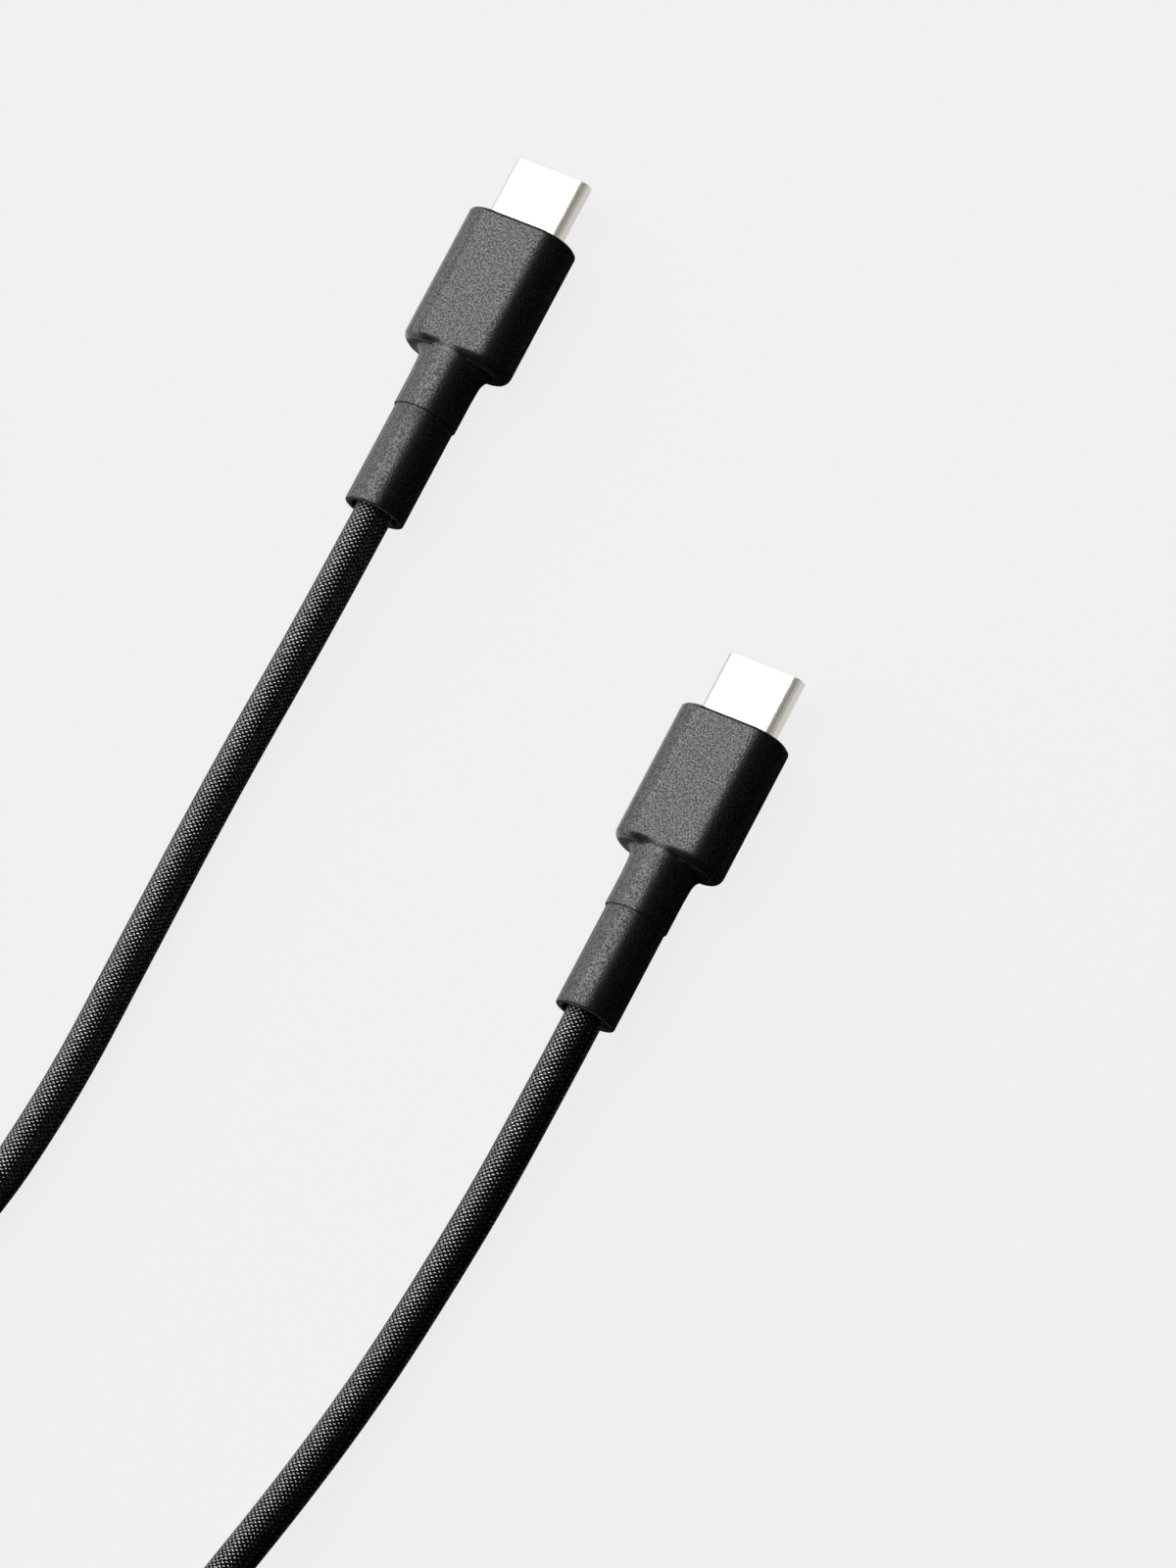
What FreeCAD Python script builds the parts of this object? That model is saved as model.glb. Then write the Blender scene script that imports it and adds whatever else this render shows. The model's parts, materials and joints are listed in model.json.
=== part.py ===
import FreeCAD, Part
import math
import os

# A USB-C charging cable: two equal plugs on one round braided cord.
#
# Units are millimetres. +Z is up and the cable lies on the plane Z = 0. The plugs lie on their
# broad faces and point along +Y. The origin is on that plane, under the middle of the two plugs.
#
# A plug is built in its own frame: the origin is the centre of the moulding's front face, +Y is the
# way the plug goes into a socket, and everything behind that face has a negative Y.

Vector = FreeCAD.Vector

# Places of the two plugs
PLUG_SPACING = 44.0          # between the two plugs' axes
PLUG_STAGGER = 38.45         # plug B lies this far behind plug A

# Metal shell: a drawn tube of rounded-oblong section
SHELL_WIDTH = 8.25
SHELL_HEIGHT = 2.40
SHELL_WALL = 0.25
SHELL_REACH = 6.65           # in front of the moulding
SHELL_ROOT = 4.0             # inside the moulding
SHELL_LIP = 0.15             # bevel of the mouth's outer edge

# Outer moulding: rounded-oblong body, with a round neck behind it
BODY_WIDTH = 11.4
BODY_HEIGHT = 7.0
BODY_CORNER = 3.15
BODY_LENGTH = 14.6
BODY_FRONT_BEVEL = 0.35
BODY_REAR_ROUND = 0.9        # of the two shoulders beside the neck
NECK_D = 6.58
NECK_LENGTH = 6.5
NECK_FLARE = 1.0             # where the neck leaves the body

# Strain relief: the soft sleeve behind the neck, with a root inside it
RELIEF_D = 6.24
RELIEF_LENGTH = 10.7
RELIEF_ROOT_D = 5.2
RELIEF_MOUTH_D = 4.9
RELIEF_MOUTH_DEPTH = 1.2

# Cord
CORD_D = 3.8
CORD_FIT = 0.03              # all round the cord in the strain relief
JACKET_D = 3.0
JACKET_STUB = 0.2            # inside the shield can
SHIELD_BRAID_D = 3.5

# Contact housing: the insulator inside the shell
HOUSING_FIT = 0.03
HOUSING_RECESS = 0.3         # behind the shell's mouth
HOUSING_TAIL = 0.6           # behind the shell's rear end
MOUTH_SIDE_WALL = 0.445      # beside the mouth that takes the socket's tongue
MOUTH_HEIGHT = 1.2
MOUTH_DEPTH = 5.75

# Contacts: sprung strips at a fixed pitch, numbered from 1 across the plug
CONTACT_PLACES = 12
UPPER_CONTACT_NUMBERS = (1, 4, 5, 6, 7, 9, 12)
LOWER_CONTACT_NUMBERS = (1, 4, 8, 9, 12)
CONTACT_PITCH = 0.5
CONTACT_WIDTH = 0.25
CONTACT_THICKNESS = 0.15
CONTACT_TAIL = 1.0           # lying on the board
CONTACT_HELD = 0.25          # of the mouth's floor, before the strip starts to lean
CONTACT_BUMP = 3.9           # from the mouth's floor to where it leans in most
CONTACT_LEAN = 0.115
CONTACT_TIP = 0.6            # in front of the bump
GROOVE_DEPTH = 0.12
GROOVE_MARGIN = 0.03
GROOVE_SPARE = 0.1           # in front of the contact's tip

# Ground springs: plates on the housing, with two fingers each
SPRING_SETBACK = 1.15        # behind the housing's front
SPRING_WIDTH = 5.8
SPRING_LENGTH = 3.0
SPRING_SHEET = 0.1
FINGER_WIDTH = 1.3
FINGER_SPACING = 3.0
FINGER_REACH = 0.75
FINGER_DROP = 0.42
FINGER_TIP_LENGTH = 0.15
FINGER_TIP_RISE = 0.08

# Side latch: a flat fork between the two rows of contacts
LATCH_SHEET = 0.3
LATCH_ARM = 0.2
LATCH_ARM_GAP = 0.02         # beside the mouth
LATCH_REACH = 4.6            # of the arms, from the mouth's floor
LATCH_BAR = 1.0
LATCH_BAR_SETBACK = 2.2      # behind the mouth's floor
LATCH_HOOK = 0.22
LATCH_HOOK_RAMP = 0.35       # on the hook's front
LATCH_HOOK_LENGTH = 0.8
LATCH_LEG = 0.5
LATCH_LEG_SPACING = 5.0
LATCH_PLAY = 0.04

# Circuit board and what is on it
BOARD_WIDTH = 7.0
BOARD_LENGTH = 4.5
BOARD_THICKNESS = 0.8
BOARD_GAP = 0.1              # behind the housing
CAPACITOR_SIZE = (1.0, 0.5, 0.5)
CAPACITOR_SPACING = 1.8
SOLDER_OVERHANG = 0.1        # in front of the wires' bare ends
SOLDER_CREST = 0.08          # above them
SOLDER_SLOPE = 0.3           # how much wider a joint is on the board than at its crest

# Wires
POWER_WIRE_D = 1.1
POWER_CORE_D = 0.65
SIGNAL_WIRE_D = 0.56
SIGNAL_CORE_D = 0.32
POWER_PAD_SPACING = 3.8
SIGNAL_PAD_SPACING = 1.6
WIRE_SPACING = 1.16          # side by side inside the jacket
POWER_WIRE_LIFT = 0.25
SIGNAL_WIRE_DROP = 0.72
BARE_LENGTH = 1.2            # tinned, pressed flat and soldered down

# Shield can
CAN_SHEET = 0.2
CAN_WIDTH = 8.8
CAN_HEIGHT = 3.6
CAN_LENGTH = 8.0
CAN_CRIMP = 1.6              # round the cord
CAN_FIT = 0.03

# Inner moulding
INNER_WIDTH = 10.0
INNER_HEIGHT = 5.4
INNER_CORNER = 2.0
INNER_COVER = 2.4            # of shell, in front of the can

# Coil of put-away cord, seen from above
COIL_X = -10.5
COIL_Y = -143.0
COIL_RADIUS = 24.8           # centre line of the outermost turn
COIL_INNER_RADIUS = 15.2     # centre line of the innermost turn
COIL_LEAD = 15.0             # straight lead out to the free stretches
COIL_INSET = 0.1             # of the plain ring, inside the outline of its turns

# Tie round the coil
TIE_WIDTH = 6.0
TIE_SHEET = 0.6
TIE_ANGLE = 270.0

# Worked out from the above
REAR_LENGTH = BODY_LENGTH + NECK_LENGTH + RELIEF_LENGTH
AXIS_HEIGHT = BODY_HEIGHT / 2
CORD_R = CORD_D / 2
PLUG_A = Vector(-PLUG_SPACING / 2, (PLUG_STAGGER + REAR_LENGTH - SHELL_REACH) / 2, AXIS_HEIGHT)
PLUG_B = Vector(PLUG_SPACING / 2, PLUG_A.y - PLUG_STAGGER, AXIS_HEIGHT)
HOUSING_FRONT = SHELL_REACH - HOUSING_RECESS
HOUSING_REAR = -SHELL_ROOT - HOUSING_TAIL
HOUSING_WIDTH = SHELL_WIDTH - 2 * SHELL_WALL - 2 * HOUSING_FIT
HOUSING_HEIGHT = SHELL_HEIGHT - 2 * SHELL_WALL - 2 * HOUSING_FIT
MOUTH_WIDTH = HOUSING_WIDTH - 2 * MOUTH_SIDE_WALL
MOUTH_FLOOR = HOUSING_FRONT - MOUTH_DEPTH
SPRING_FRONT = HOUSING_FRONT - SPRING_SETBACK
BOARD_FRONT = HOUSING_REAR - BOARD_GAP
BOARD_REAR = BOARD_FRONT - BOARD_LENGTH
CAN_FRONT = -SHELL_ROOT + 2 * CAN_SHEET
CAN_REAR = CAN_FRONT - CAN_LENGTH
CRIMP_REAR = CAN_REAR - CAN_CRIMP
CRIMP_D = SHIELD_BRAID_D + 2 * CAN_FIT + 2 * CAN_SHEET
INNER_FRONT = CAN_FRONT + INNER_COVER
INNER_REAR = CRIMP_REAR
NECK_REAR = -BODY_LENGTH - NECK_LENGTH
CORD_START = -REAR_LENGTH + RELIEF_MOUTH_DEPTH

# The two free stretches of cord, from the strain relief's recess to the coil's leads. The first
# two points run straight out of the plug, and the last two run straight into the lead.
LOW = CORD_R
HIGH = CORD_R + CORD_D
LEAD_END = COIL_Y + COIL_LEAD
ROUTE_A = [
    (PLUG_A.x, PLUG_A.y + CORD_START, AXIS_HEIGHT),
    (PLUG_A.x, PLUG_A.y + CORD_START - 13.0, AXIS_HEIGHT),
    (-23.2, -36.0, LOW),
    (-24.4, -77.0, LOW),
    (COIL_X - COIL_RADIUS, LEAD_END + 19.0, LOW),
    (COIL_X - COIL_RADIUS, LEAD_END, LOW),
]
ROUTE_B = [
    (PLUG_B.x, PLUG_B.y + CORD_START, AXIS_HEIGHT),
    (PLUG_B.x, PLUG_B.y + CORD_START - 9.4, AXIS_HEIGHT),
    (21.0, -62.0, LOW),
    (18.9, -85.0, LOW),
    (COIL_X + COIL_RADIUS, LEAD_END + 14.0, HIGH),
    (COIL_X + COIL_RADIUS, LEAD_END, HIGH),
]


def slab(x0, x1, y0, y1, z0, z1):
    """A box between two corners."""
    return Part.makeBox(x1 - x0, y1 - y0, z1 - z0, Vector(x0, y0, z0))


def rod(diameter, y0, y1, x=0.0, z=0.0, end_diameter=None):
    """A round bar or cone along Y, from y0 up to y1; end_diameter is its size at y0."""
    start, along = Vector(x, y0, z), Vector(0, 1, 0)
    if end_diameter is None:
        return Part.makeCylinder(diameter / 2, y1 - y0, start, along)
    return Part.makeCone(end_diameter / 2, diameter / 2, y1 - y0, start, along)


def oblong(width, height, corner, y):
    """A rounded-oblong face across the plug at y."""
    w, h, r = width / 2, height / 2, corner
    corners = ((w, h, 45), (-w, h, 135), (-w, -h, 225), (w, -h, 315))
    ends, middles = [], []
    for cx, cz, angle in corners:
        centre = Vector(cx - math.copysign(r, cx), y, cz - math.copysign(r, cz))
        for turn in (angle - 45, angle + 45):
            a = math.radians(turn)
            ends.append(centre + Vector(r * math.cos(a), 0, r * math.sin(a)))
        a = math.radians(angle)
        middles.append(centre + Vector(r * math.cos(a), 0, r * math.sin(a)))
    edges = []
    for i, middle in enumerate(middles):
        edges.append(Part.Arc(ends[2 * i], middle, ends[2 * i + 1]).toShape())
        here, there = ends[2 * i + 1], ends[(2 * i + 2) % len(ends)]
        if (there - here).Length > 1e-6:
            edges.append(Part.LineSegment(here, there).toShape())
    return Part.Face(Part.Wire(edges))


def prism(width, height, corner, y0, y1):
    """A bar of rounded-oblong section along Y, from y0 up to y1."""
    return oblong(width, height, corner, y0).extrude(Vector(0, y1 - y0, 0))


def rim_edges(solid, y):
    """The edges of a solid that lie wholly in the plane at y."""
    return [e for e in solid.Edges if abs(e.BoundBox.YMin - y) < 1e-6 and abs(e.BoundBox.YMax - y) < 1e-6]


def bent_strip(line, sheet, x0, x1):
    """Sheet metal bent along a line of (y, z) points and x1 - x0 wide."""
    sides = []
    for side in (sheet / 2, -sheet / 2):
        row = []
        for i, (y, z) in enumerate(line):
            before = line[max(i - 1, 0)]
            after = line[min(i + 1, len(line) - 1)]
            normals = []
            for (ya, za), (yb, zb) in ((before, (y, z)), ((y, z), after)):
                length = math.hypot(yb - ya, zb - za)
                if length:
                    normals.append(((za - zb) / length, (yb - ya) / length))
            ny = sum(n[0] for n in normals) / len(normals)
            nz = sum(n[1] for n in normals) / len(normals)
            stretch = side / (ny * ny + nz * nz)
            row.append(Vector(x0, y + ny * stretch, z + nz * stretch))
        sides.append(row)
    outline = sides[0] + sides[1][::-1]
    return Part.Face(Part.makePolygon(outline + outline[:1])).extrude(Vector(x1 - x0, 0, 0))


def rounded_path(points):
    """Straight runs joined by arcs as large as the runs allow, and the smallest arc's radius."""
    points = [Vector(*p) for p in points]
    edges, smallest, last = [], math.inf, points[0]
    for a, b, c in zip(points, points[1:], points[2:]):
        back, on = (a - b), (c - b)
        reach = 0.45 * min(back.Length, on.Length)
        turn = math.pi - back.getAngle(on)
        back.normalize()
        on.normalize()
        start, end = b + back * reach, b + on * reach
        radius = reach / math.tan(turn / 2)
        smallest = min(smallest, radius)
        middle_way = (back + on).normalize()
        middle = b + middle_way * (radius / math.cos(turn / 2) - radius)
        edges.append(Part.LineSegment(last, start).toShape())
        edges.append(Part.Arc(start, middle, end).toShape())
        last = end
    edges.append(Part.LineSegment(last, points[-1]).toShape())
    return Part.Wire(edges), smallest


def tube(points, diameter):
    """A round cord swept along the rounded path through the points."""
    path, smallest = rounded_path(points)
    along = Vector(*points[1]) - Vector(*points[0])
    ring = Part.Wire(Part.makeCircle(diameter / 2, Vector(*points[0]), along))
    solid = path.makePipeShell([ring], True, False)
    return solid, path.Length, smallest


def turned_over(shape):
    """A copy turned upside down about the plug's axis."""
    turned = shape.copy()
    turned.rotate(Vector(0, 0, 0), Vector(0, 1, 0), 180)
    return turned


def metal_shell():
    """The drawn tube with a bevelled lip."""
    outer = prism(SHELL_WIDTH, SHELL_HEIGHT, SHELL_HEIGHT / 2, -SHELL_ROOT, SHELL_REACH)
    outer = outer.makeChamfer(SHELL_LIP, rim_edges(outer, SHELL_REACH))
    width, height = SHELL_WIDTH - 2 * SHELL_WALL, SHELL_HEIGHT - 2 * SHELL_WALL
    return outer.cut(prism(width, height, height / 2, -SHELL_ROOT, SHELL_REACH))


def contact_line():
    """The side view of an upper contact: flat on the board and in the housing, then sprung."""
    flat = BOARD_THICKNESS / 2 + CONTACT_THICKNESS / 2
    bump = MOUTH_FLOOR + CONTACT_BUMP
    return [
        (BOARD_FRONT - CONTACT_TAIL, flat),
        (MOUTH_FLOOR + CONTACT_HELD, flat),
        (bump, flat - CONTACT_LEAN),
        (bump + CONTACT_TIP, flat),
    ]


def contact_x(number):
    """Where a contact lies across the plug, with the row of places about the middle."""
    return (number - (CONTACT_PLACES + 1) / 2) * CONTACT_PITCH


def contact_row(numbers):
    """One row of contacts, as separate strips above the board."""
    row = []
    for number in numbers:
        x0 = contact_x(number) - CONTACT_WIDTH / 2
        row.append(bent_strip(contact_line(), CONTACT_THICKNESS, x0, x0 + CONTACT_WIDTH))
    return Part.makeCompound(row)


def side_latch():
    """A flat fork: a bar in the housing, two sprung arms with hooks, and two legs to the board."""
    inside = MOUTH_WIDTH / 2 + LATCH_ARM_GAP
    outside = inside + LATCH_ARM
    bar_front = MOUTH_FLOOR - LATCH_BAR_SETBACK
    bar_rear = bar_front - LATCH_BAR
    tip = MOUTH_FLOOR + LATCH_REACH
    outline = [
        (outside, bar_rear),
        (outside, tip),
        (inside, tip),
        (inside - LATCH_HOOK, tip - LATCH_HOOK_RAMP),
        (inside, tip - LATCH_HOOK_LENGTH),
        (inside, bar_front),
    ]
    outline += [(-x, y) for x, y in outline[::-1]]
    flat = [Vector(x, y, -LATCH_SHEET / 2) for x, y in outline]
    fork = Part.Face(Part.makePolygon(flat + flat[:1])).extrude(Vector(0, 0, LATCH_SHEET))
    for side in (-1, 1):
        middle = side * LATCH_LEG_SPACING / 2
        leg = slab(middle - LATCH_LEG / 2, middle + LATCH_LEG / 2, BOARD_FRONT, bar_rear,
                   -LATCH_SHEET / 2, LATCH_SHEET / 2)
        fork = fork.fuse(leg)
    return fork.removeSplitter()


def finger_places():
    """The left edge of each of a ground spring's two fingers."""
    return [side * FINGER_SPACING / 2 - FINGER_WIDTH / 2 for side in (-1, 1)]


def ground_spring():
    """The upper ground spring: a plate on the housing and two fingers that lean into the mouth."""
    top = HOUSING_HEIGHT / 2
    middle = top - SPRING_SHEET / 2
    spring = slab(-SPRING_WIDTH / 2, SPRING_WIDTH / 2, SPRING_FRONT - SPRING_LENGTH, SPRING_FRONT,
                  top - SPRING_SHEET, top)
    bend = SPRING_FRONT + FINGER_REACH
    line = [
        (SPRING_FRONT - SPRING_SHEET, middle),
        (SPRING_FRONT + SPRING_SHEET, middle),
        (bend, top - FINGER_DROP),
        (bend + FINGER_TIP_LENGTH, top - FINGER_DROP + FINGER_TIP_RISE),
    ]
    for x0 in finger_places():
        spring = spring.fuse(bent_strip(line, SPRING_SHEET, x0, x0 + FINGER_WIDTH))
    return spring.removeSplitter()


def finger_windows():
    """The slots in the housing's upper wall that the ground spring's fingers lean through."""
    window_front = SPRING_FRONT + FINGER_REACH + FINGER_TIP_LENGTH + GROOVE_MARGIN
    windows = []
    for x0 in finger_places():
        windows.append(slab(x0 - GROOVE_MARGIN, x0 + FINGER_WIDTH + GROOVE_MARGIN,
                            SPRING_FRONT, window_front, 0, HOUSING_HEIGHT))
    return windows


def contact_grooves():
    """The grooves in the mouth's upper wall that the upper contacts spring into."""
    front = MOUTH_FLOOR + CONTACT_BUMP + CONTACT_TIP + GROOVE_SPARE
    half = CONTACT_WIDTH / 2 + GROOVE_MARGIN
    grooves = {}
    for number in set(UPPER_CONTACT_NUMBERS + LOWER_CONTACT_NUMBERS):
        x = contact_x(number)
        grooves[number] = slab(x - half, x + half, MOUTH_FLOOR, front,
                               0, MOUTH_HEIGHT / 2 + GROOVE_DEPTH)
    return grooves


def contact_housing(embedded):
    """The insulator: mouth, contact grooves, latch slots, and exact seats for the metal in it."""
    body = prism(HOUSING_WIDTH, HOUSING_HEIGHT, HOUSING_HEIGHT / 2, HOUSING_REAR, HOUSING_FRONT)
    grooves = contact_grooves()
    latch_slot = MOUTH_WIDTH / 2 + LATCH_ARM_GAP + LATCH_ARM + LATCH_PLAY
    cuts = [
        slab(-MOUTH_WIDTH / 2, MOUTH_WIDTH / 2, MOUTH_FLOOR, HOUSING_FRONT,
             -MOUTH_HEIGHT / 2, MOUTH_HEIGHT / 2),
        slab(-latch_slot, latch_slot, MOUTH_FLOOR, MOUTH_FLOOR + LATCH_REACH + LATCH_PLAY,
             -LATCH_SHEET / 2 - LATCH_PLAY, LATCH_SHEET / 2 + LATCH_PLAY),
    ]
    cuts += [grooves[number] for number in UPPER_CONTACT_NUMBERS]
    cuts += [turned_over(grooves[number]) for number in LOWER_CONTACT_NUMBERS]
    for window in finger_windows():
        cuts += [window, turned_over(window)]
    return body.cut(cuts + embedded).removeSplitter()


def circuit_board():
    """The board, whose edge the contact tails straddle."""
    return slab(-BOARD_WIDTH / 2, BOARD_WIDTH / 2, BOARD_REAR, BOARD_FRONT,
                -BOARD_THICKNESS / 2, BOARD_THICKNESS / 2)


def bypass_capacitors():
    """Two chip capacitors on the board, behind the contact tails."""
    width, length, height = CAPACITOR_SIZE
    front = BOARD_FRONT - CONTACT_TAIL - length / 2
    top = BOARD_THICKNESS / 2
    pair = []
    for side in (-1, 1):
        x = side * CAPACITOR_SPACING / 2
        pair.append(slab(x - width / 2, x + width / 2, front - length, front, top, top + height))
    return Part.makeCompound(pair)


def wire_places():
    """Each wire's outer and core diameters, its side, and its places in the jacket and on the board."""
    power = BOARD_THICKNESS / 2 + POWER_WIRE_D / 2
    signal = BOARD_THICKNESS / 2 + SIGNAL_WIRE_D / 2
    places = {}
    for name, side in (("red_wire", 1), ("black_wire", -1)):
        start = Vector(side * WIRE_SPACING / 2, CAN_REAR + JACKET_STUB, POWER_WIRE_LIFT)
        end = Vector(side * POWER_PAD_SPACING / 2, BOARD_REAR, power)
        places[name] = (POWER_WIRE_D, POWER_CORE_D, 1, start, end)
    for name, side in (("green_wire", 1), ("white_wire", 0), ("blue_wire", -1)):
        start = Vector(side * WIRE_SPACING / 2, CAN_REAR + JACKET_STUB, -SIGNAL_WIRE_DROP)
        end = Vector(side * SIGNAL_PAD_SPACING, BOARD_REAR, -signal)
        places[name] = (SIGNAL_WIRE_D, SIGNAL_CORE_D, -1, start, end)
    return places


def bare_end(core, face, end):
    """The tinned end of a wire, pressed flat on the board's upper (1) or lower (-1) face."""
    foot = face * BOARD_THICKNESS / 2
    crest = foot + face * core
    return slab(end.x - core / 2, end.x + core / 2, end.y, end.y + BARE_LENGTH,
                min(foot, crest), max(foot, crest))


def wire(outer, core, face, start, end):
    """One insulated wire from the cord's jacket to the edge of the board, with its bare end."""
    ring = Part.Wire(Part.makeCircle(outer / 2, start, Vector(0, 1, 0)))
    return Part.Face(ring).extrude(end - start).fuse(bare_end(core, face, end))


def solder_joint(outer, core, face, start, end):
    """A ridge of solder over a bare end, wider on the board than at its crest."""
    foot = face * BOARD_THICKNESS / 2
    crest = foot + face * (core + SOLDER_CREST)
    top = core / 2 + SOLDER_CREST
    outline = [
        Vector(end.x - top - SOLDER_SLOPE / 2, end.y, foot),
        Vector(end.x + top + SOLDER_SLOPE / 2, end.y, foot),
        Vector(end.x + top, end.y, crest),
        Vector(end.x - top, end.y, crest),
    ]
    ridge = Part.Face(Part.makePolygon(outline + outline[:1]))
    return ridge.extrude(Vector(0, BARE_LENGTH + SOLDER_OVERHANG, 0)).cut(bare_end(core, face, end))


def can_halves():
    """The can's outside as one block, and its two halves: a box round the board, whose front wall
    closes on the shell, and a crimp on the cord."""
    s = CAN_SHEET
    w, h = CAN_WIDTH / 2, CAN_HEIGHT / 2
    block = slab(-w, w, CAN_REAR, CAN_FRONT, -h, h).fuse(rod(CRIMP_D, CRIMP_REAR, CAN_REAR))
    can = block.cut([
        slab(s - w, w - s, CAN_REAR + s, CAN_FRONT - s, s - h, h - s),
        prism(SHELL_WIDTH + 2 * CAN_FIT, SHELL_HEIGHT + 2 * CAN_FIT, SHELL_HEIGHT / 2 + CAN_FIT,
              CAN_FRONT - s, CAN_FRONT),
        rod(CRIMP_D - 2 * s, CRIMP_REAR, CAN_REAR + s),
    ])
    above = slab(-CAN_WIDTH, CAN_WIDTH, CRIMP_REAR, CAN_FRONT, 0, CAN_HEIGHT)
    return block, can.common(above), can.cut(above)


def inner_moulding(can_block):
    """The hard filling round the can, the shell's root and the end of the cord."""
    block = prism(INNER_WIDTH, INNER_HEIGHT, INNER_CORNER, INNER_REAR, INNER_FRONT)
    return block.cut([can_block, prism(SHELL_WIDTH, SHELL_HEIGHT, SHELL_HEIGHT / 2, CAN_FRONT, INNER_FRONT)])


def body_plan():
    """The body seen from above, as a slab with its two shoulders rounded."""
    plan = slab(-BODY_WIDTH / 2, BODY_WIDTH / 2, -BODY_LENGTH, 0, -BODY_HEIGHT / 2, BODY_HEIGHT / 2)
    shoulders = [e for e in rim_edges(plan, -BODY_LENGTH) if e.BoundBox.ZLength > BODY_HEIGHT / 2]
    return plan.makeFillet(BODY_REAR_ROUND, shoulders)


def outer_moulding():
    """The body with its neck, hollow for the inner moulding, the shell and the strain relief."""
    body = prism(BODY_WIDTH, BODY_HEIGHT, BODY_CORNER, -BODY_LENGTH, 0)
    body = body.makeChamfer(BODY_FRONT_BEVEL, rim_edges(body, 0)).common(body_plan())
    neck = rod(NECK_D, NECK_REAR, INNER_REAR)
    flare = rod(NECK_D + 2 * NECK_FLARE, -BODY_LENGTH - NECK_FLARE, -BODY_LENGTH, end_diameter=NECK_D)
    flare = flare.common(slab(-BODY_WIDTH / 2, BODY_WIDTH / 2, NECK_REAR, -BODY_LENGTH,
                              -BODY_HEIGHT / 2, BODY_HEIGHT / 2))
    return body.fuse([neck, flare]).cut([
        prism(INNER_WIDTH, INNER_HEIGHT, INNER_CORNER, INNER_REAR, INNER_FRONT),
        prism(SHELL_WIDTH, SHELL_HEIGHT, SHELL_HEIGHT / 2, INNER_FRONT, 0),
        rod(RELIEF_ROOT_D, NECK_REAR, INNER_REAR),
    ])


def strain_relief():
    """The soft sleeve: a root inside the neck, a round barrel behind it, and an open mouth."""
    sleeve = rod(RELIEF_D, -REAR_LENGTH, NECK_REAR).fuse(rod(RELIEF_ROOT_D, NECK_REAR, INNER_REAR))
    bore = rod(CORD_D + 2 * CORD_FIT, CORD_START, INNER_REAR)
    mouth = rod(RELIEF_MOUTH_D, -REAR_LENGTH, CORD_START)
    return sleeve.cut([bore, mouth])


def plug():
    """Every piece of one plug, in the plug's own frame, by name."""
    upper = contact_row(UPPER_CONTACT_NUMBERS)
    lower = turned_over(contact_row(LOWER_CONTACT_NUMBERS))
    latch = side_latch()
    upper_spring = ground_spring()
    lower_spring = turned_over(upper_spring)
    can_block, can_top, can_bottom = can_halves()
    places = wire_places()
    pieces = {
        "metal_shell": metal_shell(),
        "contact_housing": contact_housing([upper, lower, latch, upper_spring, lower_spring]),
        "upper_contacts": upper,
        "lower_contacts": lower,
        "upper_ground_spring": upper_spring,
        "lower_ground_spring": lower_spring,
        "side_latch": latch,
        "circuit_board": circuit_board(),
        "bypass_capacitors": bypass_capacitors(),
        "solder_joints": Part.makeCompound([solder_joint(*place) for place in places.values()]),
        "shield_can_top": can_top,
        "shield_can_bottom": can_bottom,
        "inner_moulding": inner_moulding(can_block),
        "outer_moulding": outer_moulding(),
        "strain_relief": strain_relief(),
        "cord_end": rod(CORD_D, CORD_START, CRIMP_REAR),
        "jacket_end": rod(JACKET_D, CRIMP_REAR, CAN_REAR + JACKET_STUB),
        "shield_braid": rod(SHIELD_BRAID_D, CRIMP_REAR, CAN_REAR).cut(rod(JACKET_D, CRIMP_REAR, CAN_REAR)),
    }
    for name, place in places.items():
        pieces[name] = wire(*place)
    return pieces


def coil_section(grow, lift):
    """The outline of all the coil's turns, grow outside them and bevelled above, on the +X side."""
    bevel = (CORD_R + grow) * (2 - math.sqrt(2))
    inside, outside = COIL_INNER_RADIUS - CORD_R - grow, COIL_RADIUS + CORD_R + grow
    bottom, top = lift - grow, lift + 2 * CORD_D + grow
    outline = [
        Vector(inside, 0, bottom),
        Vector(outside, 0, bottom),
        Vector(outside, 0, top - bevel),
        Vector(outside - bevel, 0, top),
        Vector(inside + bevel, 0, top),
        Vector(inside, 0, top - bevel),
    ]
    return Part.Face(Part.makePolygon(outline + outline[:1]))


def turned_round(face, start, sweep):
    """A section turned round the coil's centre, from one angle in degrees through another."""
    centre, up = Vector(0, 0, 0), Vector(0, 0, 1)
    face.rotate(centre, up, start)
    return face.revolve(centre, up, sweep)


def coil():
    """The coil as one ring with two straight leads, raised where the tie passes under it."""
    half = math.degrees(math.asin(TIE_WIDTH / 2 / (COIL_INNER_RADIUS - CORD_R)))
    ring = turned_round(coil_section(-COIL_INSET, 0), TIE_ANGLE + half, 360 - 2 * half)
    raised = turned_round(coil_section(-COIL_INSET, TIE_SHEET), TIE_ANGLE - half, 2 * half)
    leads = [rod(CORD_D, 0, COIL_LEAD, side * COIL_RADIUS, height) for side, height in ((-1, LOW), (1, HIGH))]
    ring = ring.fuse([raised] + leads)
    ring.translate(Vector(COIL_X, COIL_Y, 0))
    return ring


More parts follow.
